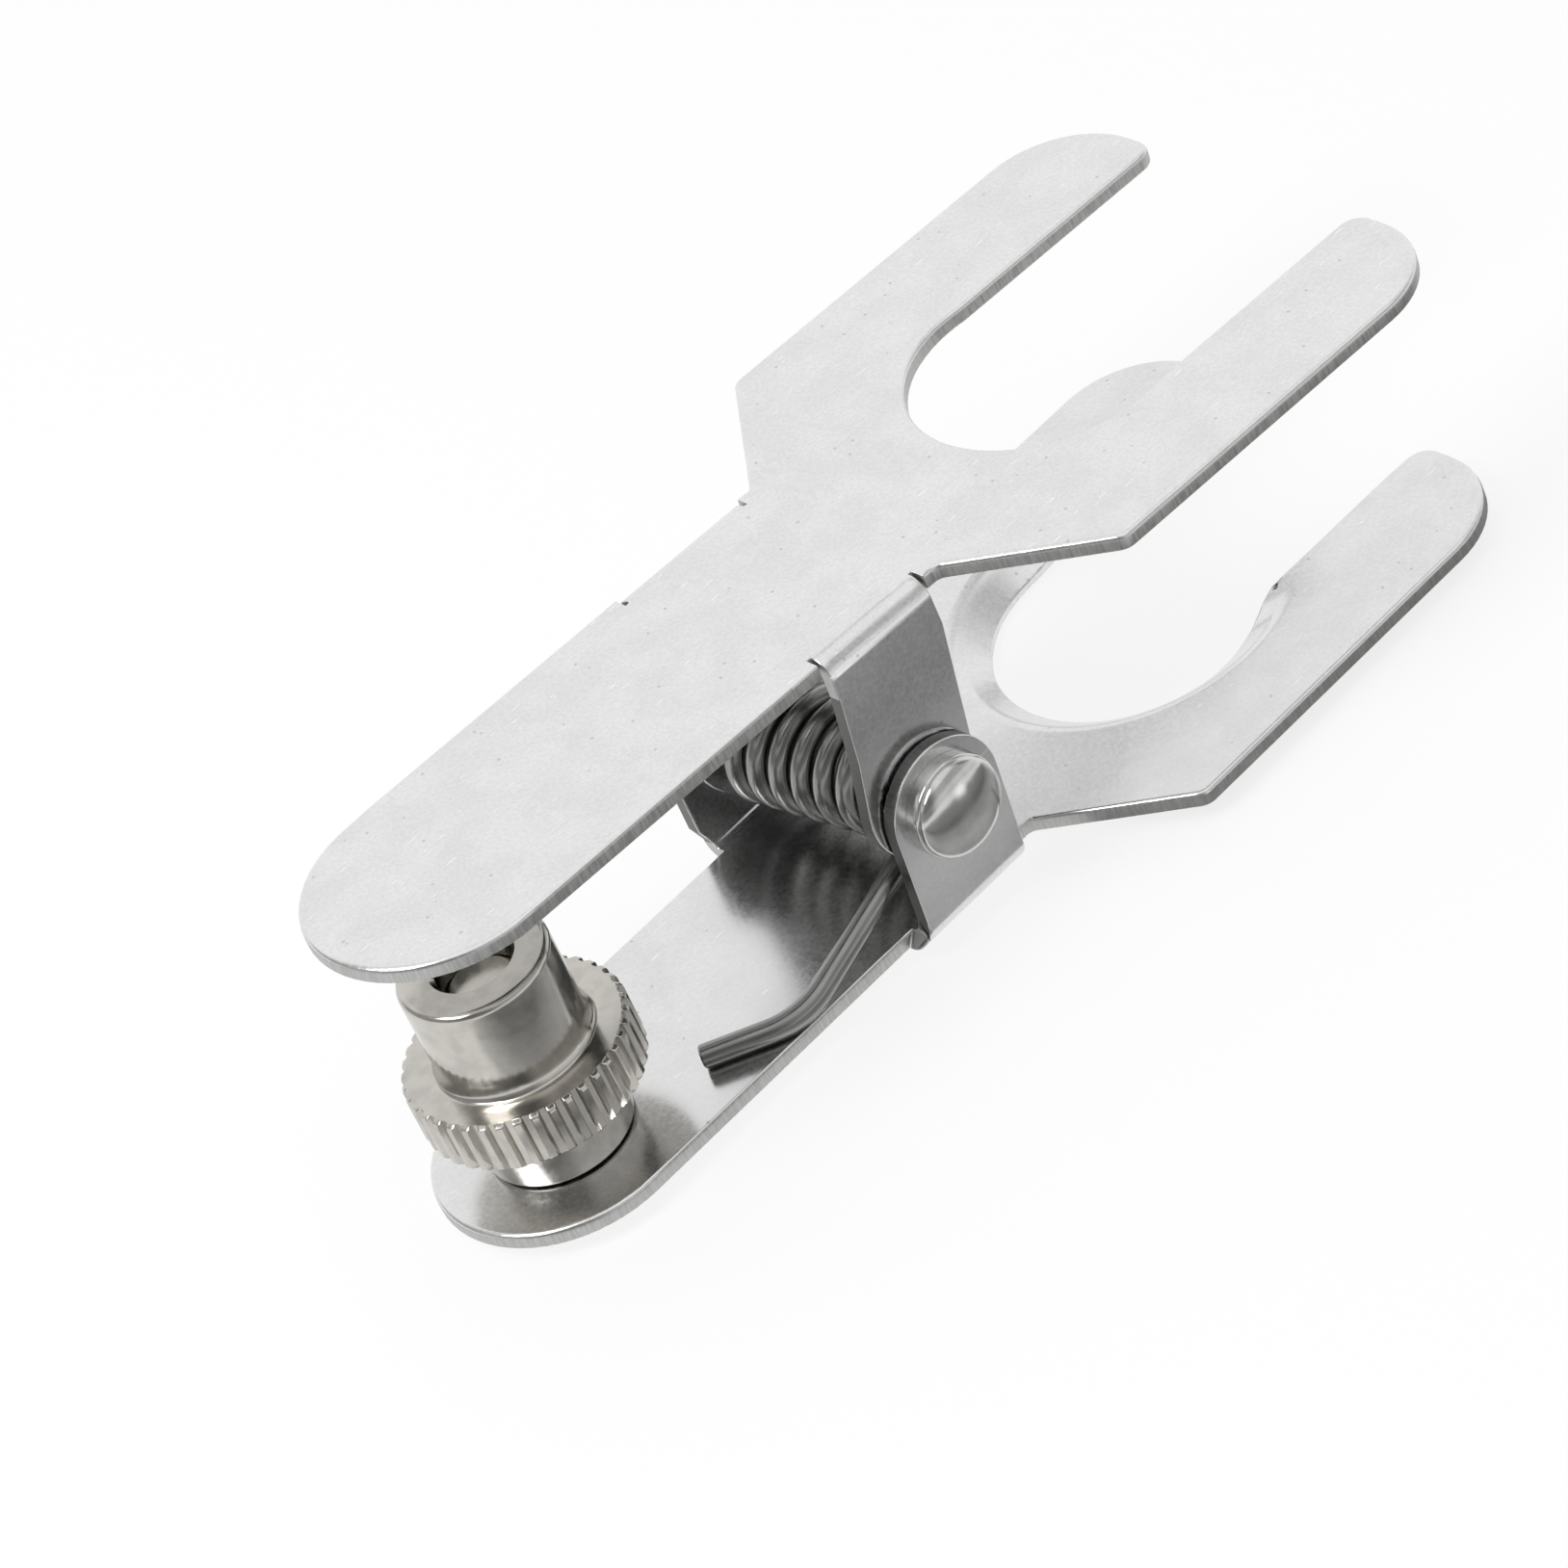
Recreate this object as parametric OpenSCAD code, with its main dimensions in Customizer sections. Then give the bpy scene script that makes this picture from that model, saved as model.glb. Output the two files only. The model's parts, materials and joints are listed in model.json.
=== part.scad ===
// Fork clamp for laboratory ball joints: two stamped jaws on a rivet, opened by
// their handles, closed by a wound spring, and locked by a knurled nut on a stud.
// X runs from the handles to the prong tips, Z is up. The origin lies on the axis
// of the lower seat, in the plane that the clamp stands on.

/* [Sheet] */
// Thickness of the sheet that both jaws are stamped from
sheet_t = 1.1; // [0.9:0.1:1.3]
// Inside radius where the ears are folded
bend_r = 0.4; // [0.3:0.1:0.8]

/* [Forks] */
// Width over both prongs
fork_w = 37.1; // [34:0.1:40]
// Radius of the inner corner of a prong tip
tip_inner_r = 1.5; // [0.8:0.1:2]
// Straight stretch of a prong tip, between its inner corner and its big outer one
tip_flat = 1.15; // [0.6:0.05:2]
// Radius of the shoulder corners
shoulder_r = 1.2; // [0.6:0.1:2]
// Pivot to the prong tips of the upper jaw
upper_reach = 45.0; // [43:0.1:48]
// Pivot to the prong tips of the lower jaw
lower_reach = 44.2; // [43:0.1:48]
// Slot between the prongs of the upper jaw
upper_slot_w = 18.4; // [17:0.1:18.5]
// Slot between the prongs of the lower jaw
lower_slot_w = 18.1; // [17:0.1:18.7]
// Pivot to the seat axis of the upper jaw
upper_seat_x = 25.0; // [24:0.1:27]
// Pivot to the seat axis of the lower jaw
lower_seat_x = 23.8; // [23:0.1:26]
// Radius of the round bottom of the upper slot
upper_seat_r = 9.3; // [9.3:0.05:9.8]
// Radius of the rim of the lower seat
lower_seat_r = 9.5; // [9.4:0.05:9.9]
// Pivot to the shoulder corners of the upper jaw
upper_shoulder_x = 13.9; // [13:0.1:15]
// Pivot to the shoulder corners of the lower jaw
lower_shoulder_x = 12.7; // [12:0.1:14]
// Pivot to the neck of the upper jaw, where its shoulders start
upper_neck_x = 6.4; // [6.2:0.1:8]
// Pivot to the neck of the lower jaw, where its shoulders start
lower_neck_x = 5.6; // [5.3:0.1:7]

/* [Dished seat] */
// How far the rim of the lower seat sinks below its jaw's upper face
dish_depth = 2; // [1.6:0.1:2.1]
// How far the dish bulges below its jaw's lower face
dish_bulge = 1.3; // [1.2:0.1:1.5]
// Width of the dished ring
dish_w = 2.9; // [2.5:0.1:3.5]
// Radius of the round opening where it meets the slot, beside the dish
throat_r = 10.35; // [10:0.05:10.8]

/* [Handles] */
// Width of the handles
handle_w = 17.8; // [16.5:0.1:18.4]
// Pivot to the centre of the round handle ends
handle_reach = 29.0; // [28:0.1:34]
// Radius of the inner corner at the neck
neck_r = 0.8; // [0.5:0.1:1.2]

/* [Ears and pivot] */
// Half width over the outer faces of the lower ears
ear_half_w = 10.65; // [10.4:0.05:11]
// Radius of the lower ears around the pivot
lower_ear_r = 4.4; // [4:0.1:4.9]
// Right lower ear behind the pivot, above its flare
lower_ear_back = 4.9; // [4.5:0.1:5.2]
// Left lower ear behind the pivot, where it is wider
left_ear_back = 6.5; // [6:0.1:7]
// Lower ear in front of the pivot, at its fold
lower_ear_front = 3.7; // [3.4:0.1:4.4]
// Radius of the right upper ear's round end
upper_ear_r = 4.5; // [4.2:0.1:4.9]
// Middle of the upper ears' round ends behind the pivot
upper_ear_set_back = 0.5; // [0.3:0.1:0.7]
// Middle of the right upper ear's round end above the pivot
upper_ear_lift = 0.9; // [0.4:0.1:0.9]
// Middle of the left upper ear's round end below the pivot
left_upper_drop = 0.2; // [0:0.1:0.5]
// Right upper ear behind the pivot, at its fold
upper_ear_back = 3.7; // [3.2:0.1:4.2]
// Left upper ear behind the pivot, where it is wider and runs straight to its round end
left_upper_back = 5.3; // [5:0.1:5.6]
// Upper ear in front of the pivot, at its fold
upper_ear_front = 5.0; // [4.6:0.1:5.3]
// Right upper ear behind the pivot, halfway down
upper_ear_waist = 4.15; // [3.9:0.05:4.4]
// Relief notch at each end of the upper ears' folds
relief = 0.3; // [0.3:0.1:0.7]
// Run of the flare at the foot of each lower ear
ear_flare = 1; // [0.6:0.1:1.5]
// Side clearance between an upper and a lower ear
ear_clearance = 0.2; // [0.1:0.05:0.3]
// Pivot above the upper face of the lower jaw
pivot_above = 7.35; // [7:0.05:8]
// Pivot below the lower face of the upper jaw
pivot_below = 12.7; // [12:0.1:13.5]
// Upper jaw's tilt, prongs down, as the hand holds it open
rest_tilt = 2.9; // [0:0.1:4]
// Diameter of the rivet's shank
rivet_d = 3.6; // [3.2:0.1:3.8]
// Diameter of the rivet's heads
rivet_head_d = 6.9; // [6:0.1:7.4]
// Height of the rivet's heads
rivet_head_h = 2.4; // [1.8:0.1:2.8]
// Radial clearance of the upper ears on the rivet
running_fit = 0.05; // [0.03:0.01:0.08]

/* [Spring] */
// Diameter of the spring wire
wire_d = 1.6; // [1.4:0.05:1.65]
// Radius of the coil to the middle of the wire
coil_r = 3.8; // [3.6:0.1:4]
// Whole turns of the coil, before the part turn between its two legs
coil_turns = 6; // [4:1:6]
// Gap between the coil and each upper ear
coil_end_gap = 0.65; // [0.5:0.05:0.9]
// Pivot to the bend of each leg
leg_bend_x = 14.8; // [13:0.1:15.5]
// Middle plane to the bend of the lower leg
lower_leg_bend_y = 8.9; // [7.4:0.1:9.2]
// Middle plane to the bend of the upper leg, which passes inside the upper ear
upper_leg_bend_y = 8; // [7.4:0.1:8.1]
// Pivot to the cut end of each leg
leg_end_x = 20.4; // [19:0.1:21]
// Middle plane to the cut end of each leg
leg_end_y = 5.0; // [4:0.1:6]
// Radius of the bend in each leg
leg_bend_r = 2.4; // [1.5:0.1:3]
// Clearance between the wire and what it rests on
wire_clearance = 0.1; // [0.05:0.01:0.2]

/* [Stud and nut] */
// Diameter of the stud
stud_d = 5; // [4.5:0.1:5.5]
// Length of the stud above its jaw
stud_h = 13.6; // [12:0.1:15]
// Diameter of the stud's riveted foot
stud_foot_d = 7.6; // [7:0.1:8.4]
// Radial clearance of the nut on the stud
thread_fit = 0.05; // [0.03:0.01:0.08]
// Gap under the nut when it is screwed down
nut_gap = 0.15; // [0.1:0.05:0.3]
// Diameter of the boss under the knurl
boss_d = 10; // [9:0.1:11]
// Height of the boss
boss_h = 4.2; // [3.5:0.1:4.6]
// Diameter of the knurled rim, over its ridges
knurl_d = 15.2; // [14.5:0.1:16]
// Height of the knurled rim
knurl_h = 3.9; // [3:0.1:4.2]
// Number of knurl ridges
knurl_count = 40; // [30:1:44]
// Depth of the knurl
knurl_depth = 0.45; // [0.3:0.05:0.6]
// Diameter of the barrel
barrel_d = 10.2; // [9.6:0.1:11]
// Height of the barrel above the knurl
barrel_h = 7.2; // [6:0.1:7.6]

/* [Hidden] */
$fn = 96;
EPS = 0.01;

// Heights in the frame, with the dish and the stud's foot on the plane z = 0
lower_bottom = dish_bulge;
lower_top = lower_bottom + sheet_t;
pivot_z = lower_top + pivot_above;
pivot_x = -lower_seat_x;

// Half widths over the ears, outwards in
lower_ear_in = ear_half_w - sheet_t;
upper_ear_out = lower_ear_in - ear_clearance;
upper_ear_in = upper_ear_out - sheet_t;
fold_r = bend_r + sheet_t;

// The dished ring: rows round the seat, steps across it, and where it fades out
DISH_ROWS = 40;
DISH_RINGS = 6;
DISH_START = 40;
THROAT_ANGLE = 58;
dish_outer_r = lower_seat_r + dish_w;
function dish_angle(i) = DISH_START + 2 * (180 - DISH_START) * i / DISH_ROWS;
function dish_way(i) = [cos(dish_angle(i)), sin(dish_angle(i))];

// Rings of wire in one turn of the coil, and sides of the wire
COIL_RINGS = 8;
WIRE_SIDES = 6;
BEND_RINGS = 5;

function unit(v) = v / norm(v);
function bearing(v) = atan2(v.y, v.x);

// Arc of radius r that rounds the corner at b, between its neighbours a and c
function corner(a, b, c, r, n) =
    r == 0 ? [b] :
    let (
        u = unit(a - b),
        v = unit(c - b),
        half = acos(u * v) / 2,
        middle = b + unit(u + v) * r / sin(half),
        start = bearing(b + u * r / tan(half) - middle),
        turn = (bearing(b + v * r / tan(half) - middle) - start + 540) % 360 - 180
    )
    [for (k = [0:n]) middle + r * [cos(start + turn * k / n), sin(start + turn * k / n)]];

// Outline whose points are [x, y, corner radius]
function rounded(points, n = 12) = [
    for (i = [0:len(points) - 1])
        let (
            before = points[(i + len(points) - 1) % len(points)],
            here = points[i],
            after = points[(i + 1) % len(points)]
        )
        each corner([before.x, before.y], [here.x, here.y], [after.x, after.y], here.z, n)
];

// Radius of the outer corner of a prong tip, beside a slot of this width
function tip_r(slot_w) = (fork_w - slot_w) / 2 - tip_inner_r - tip_flat;

// One half of a jaw's blank, from the neck round a prong to the slot's bottom
function half_blank(side, reach, slot_w, seat_x, shoulder_x, neck_x) = [
    [neck_x, side * handle_w / 2, neck_r],
    [shoulder_x, side * fork_w / 2, shoulder_r],
    [reach, side * fork_w / 2, tip_r(slot_w)],
    [reach, side * slot_w / 2, tip_inner_r],
    [seat_x, side * slot_w / 2, 0]
];

function reversed(list) = [for (i = [len(list) - 1:-1:0]) list[i]];

// Flat blank of a jaw, pivot at the origin: a handle with a round end, a neck and a fork
module blank(reach, slot_w, seat_x, shoulder_x, neck_x) {
    end_x = -handle_reach - handle_w / 2;
    end_r = handle_w / 2 - EPS;
    polygon(rounded(concat(
        [[end_x, -handle_w / 2, end_r]],
        half_blank(-1, reach, slot_w, seat_x, shoulder_x, neck_x),
        reversed(half_blank(1, reach, slot_w, seat_x, shoulder_x, neck_x)),
        [[end_x, handle_w / 2, end_r]]
    ), 16));
}

// Square with its two lower corners rounded, for the sections of folded sheet
module round_bottomed(w, h, r) {
    translate([-w / 2, r]) square([w, h - r]);
    translate([-w / 2 + r, 0]) square([w - 2 * r, h]);
    for (side = [-1, 1])
        translate([side * (w / 2 - r), r]) circle(r);
}

// Channel of folded sheet that stands on z = 0 and runs along X
module channel(half_w, x0, x1, h) {
    translate([x0, 0, 0]) rotate([90, 0, 90]) linear_extrude(x1 - x0) difference() {
        round_bottomed(2 * half_w, h, fold_r);
        translate([0, sheet_t]) round_bottomed(2 * (half_w - sheet_t), h, bend_r);
    }
}

// Point where the line from p touches the circle of radius r round middle
function touch(p, middle, r, sign) =
    let (a = bearing(p - middle) + sign * acos(r / norm(p - middle)))
    middle + r * [cos(a), sin(a)];

// Ears from y0 to y1: a round end, then the other points of their outline in X and Z
// from the pivot. way is 1 for ears that stand up to it and -1 for ears that hang down
module side_profile(y0, y1, middle, r, front, back, way) {
    translate([0, y1, 0]) rotate([90, 0, 0]) linear_extrude(y1 - y0) {
        translate(middle) circle(r);
        polygon(concat([touch(front[0], middle, r, way)], front, back, [touch(back[len(back) - 1], middle, r, -way)]));
    }
}

module pivot_hole(r) {
    rotate([90, 0, 0]) cylinder(h = 4 * ear_half_w, r = r, center = true);
}

// How far the ring is pressed down, 0 to 1: across it, and round it from the throat on
function across(t) = (t < 0.4 ? t * t / 0.8 : t - 0.2) / 0.8;
function pressed(a) =
    let (s = min(1, max(0, (180 - abs(180 - a) - THROAT_ANGLE) / 45)))
    1 - (1 - s) * (1 - s);

// Ring pressed down round the lower seat: flat beside the throat, where the slot cuts it
// off, and deeper towards the handle. Triangles, in rows round the seat
module dish() {
    function section(i) =
        let (
            f = pressed(dish_angle(i)),
            inner_r = throat_r + (lower_seat_r - 0.2 - throat_r) * f,
            way = dish_way(i)
        )
        [
            for (k = [0:2 * DISH_RINGS + 1])
                let (
                    above = k <= DISH_RINGS,
                    t = (above ? k : 2 * DISH_RINGS + 1 - k) / DISH_RINGS,
                    flat = above ? lower_top : lower_bottom,
                    down = above ? dish_depth : dish_bulge
                )
                concat(way * (dish_outer_r + (inner_r - dish_outer_r) * t), [flat - down * f * across(t)])
        ];
    n = 2 * DISH_RINGS + 2;
    function at(i, k) = i * n + k % n;
    polyhedron(
        points = [for (i = [0:DISH_ROWS]) each section(i)],
        faces = concat(
            [for (i = [0:DISH_ROWS - 1]) for (k = [0:n - 1]) [at(i, k), at(i, k + 1), at(i + 1, k)]],
            [for (i = [0:DISH_ROWS - 1]) for (k = [0:n - 1]) [at(i, k + 1), at(i + 1, k + 1), at(i + 1, k)]],
            [for (k = [1:n - 2]) [at(0, 0), at(0, k + 1), at(0, k)]],
            [for (k = [1:n - 2]) [at(DISH_ROWS, 0), at(DISH_ROWS, k), at(DISH_ROWS, k + 1)]]
        )
    );
}

module lower_blank() {
    blank(lower_reach, lower_slot_w, lower_seat_x, lower_shoulder_x, lower_neck_x);
}

// Lower jaw: fork with a dished seat, ears folded up outside the upper jaw's ears
module lower_jaw() {
    base = -pivot_above - sheet_t - EPS;
    foot = -lower_ear_back - ear_flare;
    front = [[lower_ear_front, base]];
    right_back = [
        [foot, base],
        [foot + ear_flare * 0.7, base + ear_flare],
        [-lower_ear_back, base + 2 * ear_flare]
    ];
    left_back = [
        [foot, base],
        [foot, base + fold_r],
        [-left_ear_back, base + 2 * fold_r],
        [-left_ear_back, -lower_ear_r / 4]
    ];
    color("silver") difference() {
        union() {
            difference() {
                translate([pivot_x, 0, lower_bottom]) linear_extrude(sheet_t) lower_blank();
                translate([0, 0, lower_bottom - 1]) linear_extrude(sheet_t + 2)
                    polygon(concat([[0, 0]], [for (i = [0:DISH_ROWS]) dish_outer_r * dish_way(i)]));
            }
            intersection() {
                dish();
                translate([pivot_x, 0, -1]) linear_extrude(lower_top + 2) lower_blank();
            }
            intersection() {
                translate([pivot_x, 0, lower_bottom])
                    channel(ear_half_w, -3 * lower_ear_r, 2 * lower_ear_r, pivot_above + 3 * lower_ear_r);
                translate([pivot_x, 0, pivot_z]) {
                    side_profile(-2 * ear_half_w, 0, [0, 0], lower_ear_r, front, right_back, 1);
                    side_profile(-sheet_t, 2 * ear_half_w, [0, 0], lower_ear_r, front, left_back, 1);
                }
            }
        }
        translate([pivot_x, 0, pivot_z]) pivot_hole(rivet_d / 2);
        translate([pivot_x - handle_reach, 0, -1]) cylinder(h = lower_top + 2, r = stud_d / 2);
        translate([0, 0, -1]) cylinder(h = lower_top + 2, r = lower_seat_r);
    }
}

// Puts a piece that is drawn round the pivot where the upper jaw is held
module at_upper_jaw() {
    translate([pivot_x, 0, pivot_z]) rotate([0, rest_tilt, 0]) children();
}

// Upper jaw: plain fork, ears folded down inside the lower jaw's ears
module upper_jaw() {
    face = pivot_below + sheet_t;
    right_middle = [-upper_ear_set_back, upper_ear_lift];
    left_middle = [-upper_ear_set_back, -left_upper_drop];
    left_r = left_upper_back - upper_ear_set_back;
    front = [[upper_ear_front + 0.2, face - 3.6], [upper_ear_front, face + 1]];
    right_back = [[-upper_ear_back, face + 1], [-upper_ear_back, face - 3], [-upper_ear_waist, face / 2 - 1]];
    left_back = [[-left_upper_back, face + 1]];
    color("gainsboro") at_upper_jaw() difference() {
        union() {
            translate([0, 0, pivot_below]) linear_extrude(sheet_t) difference() {
                blank(upper_reach, upper_slot_w, upper_seat_x, upper_shoulder_x, upper_neck_x);
                translate([-upper_ear_back - relief, -upper_ear_out + fold_r - sheet_t * 3])
                    square([upper_ear_back + upper_ear_front + 2 * relief, sheet_t * 3]);
                translate([-left_upper_back - relief, upper_ear_out - fold_r])
                    square([left_upper_back + upper_ear_front + 2 * relief, sheet_t * 3]);
            }
            intersection() {
                translate([0, 0, face]) mirror([0, 0, 1])
                    channel(upper_ear_out, -2 * upper_ear_r, 2 * upper_ear_r, face + 2 * upper_ear_r);
                union() {
                    side_profile(-2 * ear_half_w, 0, right_middle, upper_ear_r, front, right_back, -1);
                    side_profile(-sheet_t, 2 * ear_half_w, left_middle, left_r, front, left_back, -1);
                }
            }
        }
        pivot_hole(rivet_d / 2 + running_fit);
        translate([upper_seat_x, 0, pivot_below - sheet_t]) cylinder(h = 3 * sheet_t, r = upper_seat_r);
    }
}

// Rivet: a shank through all four ears, with a domed head on each side
module pivot_rivet() {
    steps = 12;
    collar = 1.1;
    function dome(k) = [
        rivet_head_d / 2 * sin(90 * k / steps),
        ear_half_w + collar + (rivet_head_h - collar) * cos(90 * k / steps)
    ];
    head = concat([for (k = [0:steps]) dome(k)], [[rivet_head_d / 2, ear_half_w], [rivet_d / 2, ear_half_w]]);
    mirrored = [for (p = reversed(head)) [p.x, -p.y]];
    color("lightgray") translate([pivot_x, 0, pivot_z]) rotate([90, 0, 0])
        rotate_extrude() polygon(concat(head, mirrored));
}

// Where the spring's legs bend and end, on the lower jaw and in the upper jaw's own frame
coil_half = upper_ear_in - coil_end_gap - wire_d / 2;
leg_low = -pivot_above + wire_d / 2 + wire_clearance;
leg_high = pivot_below - wire_d / 2 - wire_clearance;
function tilted(p) = [
    p.x * cos(rest_tilt) + p.z * sin(rest_tilt),
    p.y,
    p.z * cos(rest_tilt) - p.x * sin(rest_tilt)
];
low_bend = [-leg_bend_x, -lower_leg_bend_y, leg_low];
low_end = [-leg_end_x, -leg_end_y, leg_low];
high_bend = tilted([-leg_bend_x, upper_leg_bend_y, leg_high]);
high_end = tilted([-leg_end_x, leg_end_y, leg_high]);

// The legs' push tips the coil on the rivet: its middle at height y along the pivot
lean = coil_r * cos(180 / COIL_RINGS) - wire_d / 2 - rivet_d / 2 - 0.15;
function coil_middle(y) = -lean * y / coil_half * unit([0.55, 0.83]);

// Angle round the coil at which a straight leg to p leaves it, on the side given by sign
function leaves(p, y, sign) =
    let (d = [p.x, p.z] - coil_middle(y))
    bearing(d) + sign * acos(coil_r / norm(d));

start_angle = leaves(low_bend, -coil_half, 1);
end_angle = leaves(high_bend, coil_half, -1);
coil_sweep = 360 * coil_turns + (end_angle - start_angle + 720) % 360;
coil_steps = round(coil_sweep * COIL_RINGS / 360);
coil_path = [
    for (k = [0:coil_steps])
        let (
            y = -coil_half + 2 * coil_half * k / coil_steps,
            a = start_angle + coil_sweep * k / coil_steps,
            m = coil_middle(y)
        )
        [m.x + coil_r * cos(a), y, m.y + coil_r * sin(a)]
];

// Rounded bend at b on the way from a to c
function bend(a, b, c) =
    let (p = b + unit(a - b) * leg_bend_r, q = b + unit(c - b) * leg_bend_r)
    [
        for (k = [0:BEND_RINGS])
            let (t = k / BEND_RINGS)
            (1 - t) * (1 - t) * p + 2 * t * (1 - t) * b + t * t * q
    ];

spring_path = concat(
    [low_end],
    bend(low_end, low_bend, coil_path[0]),
    coil_path,
    bend(coil_path[coil_steps], high_bend, high_end),
    [high_end]
);

// Smallest gap between the wire and itself, a half turn or more further along
spring_gap = min([
    for (i = [0:coil_steps])
        for (j = [i + COIL_RINGS / 2:1:coil_steps])
            norm(coil_path[i] - coil_path[j]) - wire_d
]);
echo(spring_gap_mm = spring_gap, coil_turns = coil_sweep / 360);

// Tube of triangles along a path, its rings square to the path
module tube(path, d, sides) {
    last = len(path) - 1;
    function along(i) = unit(path[min(i + 1, last)] - path[max(i - 1, 0)]);
    function ring(i) =
        let (u = unit(cross(along(i), [0, 1, 0])), v = cross(along(i), u))
        [for (s = [0:sides - 1]) path[i] + d / 2 * (u * cos(360 * s / sides) + v * sin(360 * s / sides))];
    function at(i, s) = i * sides + s % sides;
    polyhedron(
        points = [for (i = [0:last]) each ring(i)],
        faces = concat(
            [for (i = [0:last - 1]) for (s = [0:sides - 1]) [at(i, s), at(i, s + 1), at(i + 1, s)]],
            [for (i = [0:last - 1]) for (s = [0:sides - 1]) [at(i, s + 1), at(i + 1, s + 1), at(i + 1, s)]],
            [for (s = [1:sides - 2]) [at(0, 0), at(0, s + 1), at(0, s)]],
            [for (s = [1:sides - 2]) [at(last, 0), at(last, s), at(last, s + 1)]]
        )
    );
}

// Torsion spring: a coil round the rivet, one leg on each handle
module jaw_spring() {
    color("gray") translate([pivot_x, 0, pivot_z]) tube(spring_path, wire_d, WIRE_SIDES);
}

// Stud riveted upright through the lower handle
module lock_stud() {
    edge = 0.4;
    color("darkgray") translate([pivot_x - handle_reach, 0, 0]) rotate_extrude() polygon([
        [0, 0],
        [stud_foot_d / 2 - edge, 0],
        [stud_foot_d / 2, edge],
        [stud_foot_d / 2, lower_bottom],
        [stud_d / 2, lower_bottom],
        [stud_d / 2, lower_top + stud_h - edge],
        [stud_d / 2 - edge, lower_top + stud_h],
        [0, lower_top + stud_h]
    ]);
}

// Straight knurl: ridges round a rim, bevelled at both edges
module knurl() {
    bevel = 0.35;
    r = knurl_d / 2;
    step = 360 / knurl_count;
    intersection() {
        linear_extrude(knurl_h) polygon([
            for (k = [0:knurl_count - 1])
                each [
                    (r - knurl_depth) * [cos(step * (k - 0.18)), sin(step * (k - 0.18))],
                    (r - knurl_depth) * [cos(step * (k + 0.18)), sin(step * (k + 0.18))],
                    r * [cos(step * (k + 0.42)), sin(step * (k + 0.42))],
                    r * [cos(step * (k + 0.58)), sin(step * (k + 0.58))]
                ]
        ]);
        rotate_extrude() polygon([
            [0, 0], [r - bevel, 0], [r + EPS, bevel], [r + EPS, knurl_h - bevel], [r - bevel, knurl_h], [0, knurl_h]
        ]);
    }
}

// Nut: knurled rim on a boss, with a barrel above that meets the upper handle
module lock_nut() {
    knurl_z = boss_h;
    barrel_z = boss_h + knurl_h;
    top = barrel_z + barrel_h;
    edge = 0.5;
    foot = 0.45;
    foot_h = 1.1;
    steps = 6;
    foot_curve = [
        for (k = [0:steps])
            [barrel_d / 2 + foot * (1 - sin(90 * k / steps)), barrel_z + foot_h * (1 - cos(90 * k / steps))]
    ];
    color("lightgray") translate([pivot_x - handle_reach, 0, lower_top + nut_gap]) difference() {
        union() {
            rotate_extrude() polygon(concat(
                [[0, 0], [boss_d / 2 - edge / 2, 0], [boss_d / 2, edge / 2], [boss_d / 2, knurl_z + 1]],
                [[barrel_d / 2 + foot, knurl_z + 1]],
                foot_curve,
                [[barrel_d / 2, top - edge], [barrel_d / 2 - edge, top], [0, top]]
            ));
            translate([0, 0, knurl_z]) knurl();
        }
        translate([0, 0, -1]) cylinder(h = top + 2, r = stud_d / 2 + thread_fit);
    }
}

upper_jaw();
lower_jaw();
pivot_rivet();
jaw_spring();
lock_stud();
lock_nut();
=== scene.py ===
import json
import math

import bmesh
import bpy
from mathutils import Matrix, Vector

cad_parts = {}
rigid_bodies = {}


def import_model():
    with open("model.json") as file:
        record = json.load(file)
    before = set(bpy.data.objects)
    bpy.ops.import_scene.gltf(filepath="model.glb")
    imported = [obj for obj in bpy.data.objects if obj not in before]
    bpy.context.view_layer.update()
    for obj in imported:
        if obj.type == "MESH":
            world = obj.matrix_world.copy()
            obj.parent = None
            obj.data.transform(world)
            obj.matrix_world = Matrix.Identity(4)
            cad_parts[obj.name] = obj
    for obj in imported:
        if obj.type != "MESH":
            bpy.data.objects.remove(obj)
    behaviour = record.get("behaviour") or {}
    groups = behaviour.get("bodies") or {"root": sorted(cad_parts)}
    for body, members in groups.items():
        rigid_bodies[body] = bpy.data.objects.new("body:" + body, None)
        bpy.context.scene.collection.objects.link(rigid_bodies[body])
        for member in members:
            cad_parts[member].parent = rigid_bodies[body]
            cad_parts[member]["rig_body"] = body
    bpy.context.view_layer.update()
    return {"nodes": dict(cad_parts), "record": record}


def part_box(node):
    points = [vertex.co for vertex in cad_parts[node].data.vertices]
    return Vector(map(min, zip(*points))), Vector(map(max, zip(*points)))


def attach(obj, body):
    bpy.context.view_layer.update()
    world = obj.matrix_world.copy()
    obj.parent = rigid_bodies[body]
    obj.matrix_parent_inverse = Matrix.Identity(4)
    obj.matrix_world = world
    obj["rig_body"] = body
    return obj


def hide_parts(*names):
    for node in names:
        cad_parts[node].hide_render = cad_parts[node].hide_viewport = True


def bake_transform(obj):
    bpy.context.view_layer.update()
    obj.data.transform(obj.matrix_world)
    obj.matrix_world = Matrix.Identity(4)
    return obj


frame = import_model()
scene = bpy.context.scene
record = frame["record"]
MM = 0.001


# Camera: a long lens that looks down on the clamp from in front of its right side. It is
# rolled, so that the forks point up to the right.
camera = bpy.data.objects.new("camera", bpy.data.cameras.new("camera"))
scene.collection.objects.link(camera)
camera.data.sensor_width = 36
camera.data.lens = 154.9
camera.data.clip_start = 0.02
camera.data.clip_end = 20
camera.location = (-0.18205, -0.298151, 0.272878)
camera.rotation_euler = [math.radians(a) for a in (49.1116, 19.8791, -43.7131)]
scene.camera = camera


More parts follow.
